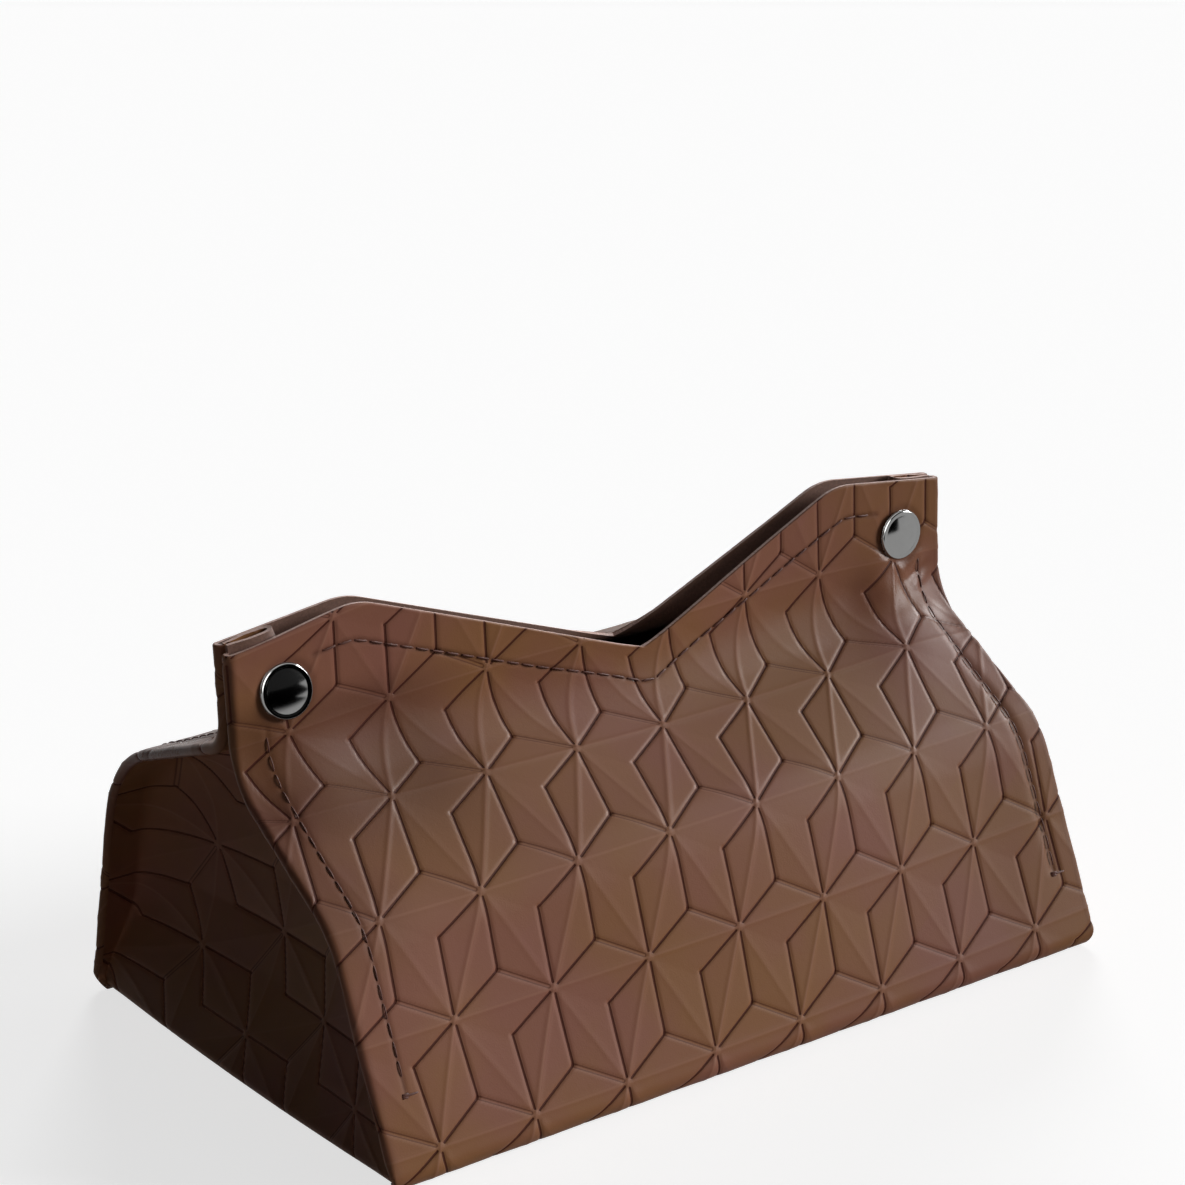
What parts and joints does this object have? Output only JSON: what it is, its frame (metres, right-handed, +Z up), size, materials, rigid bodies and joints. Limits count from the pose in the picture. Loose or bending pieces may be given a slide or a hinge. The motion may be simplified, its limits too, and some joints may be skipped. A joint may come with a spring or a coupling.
{
  "type": "tissue box cover",
  "caption": "Soft embossed leather cover for a pack of tissues, folded up to a pinched collar with a V-shaped mouth and press studs at its top corners.",
  "frame": {"origin": "on the resting face of the base, straight below the middle of the mouth", "axes": "+X along the width to the right as the front is seen, -Y out of the front, +Z up"},
  "size_m": [0.2, 0.1353, 0.1091],
  "materials": {
    "leather": "satin embossed imitation leather, brown, with lighter cut edges",
    "thread": "twisted dark brown sewing thread",
    "nickel": "polished nickel plate",
    "steel": "plain pressed steel"
  },
  "bodies": {
    "base": {"base_panel": "leather", "left_gusset": "leather", "right_gusset": "leather"},
    "front_wall": {"front_wall": "leather", "front_mouth_stitching": "thread", "front_left_seam": "thread", "front_right_seam": "thread", "front_bar_tacks": "thread", "left_snap_cap": "nickel", "left_snap_socket": "steel", "left_snap_spring": "steel", "right_snap_cap": "nickel", "right_snap_socket": "steel", "right_snap_spring": "steel"},
    "rear_wall": {"rear_wall": "leather", "rear_mouth_stitching": "thread", "rear_left_seam": "thread", "rear_right_seam": "thread", "rear_bar_tacks": "thread", "left_snap_stud": "steel", "left_snap_post": "nickel", "right_snap_stud": "steel", "right_snap_post": "nickel"}
  },
  "joints": [
    {"name": "front_wall_fold", "type": "hinge", "parent": "base", "child": "front_wall", "pos_m": [0, -0.05605, 0.0035], "axis": [1, 0, 0], "range_deg": [0, 6]},
    {"name": "rear_wall_fold", "type": "hinge", "parent": "base", "child": "rear_wall", "pos_m": [0, 0.07226, 0.0035], "axis": [-1, 0, 0], "range_deg": [0, 6]}
  ]
}
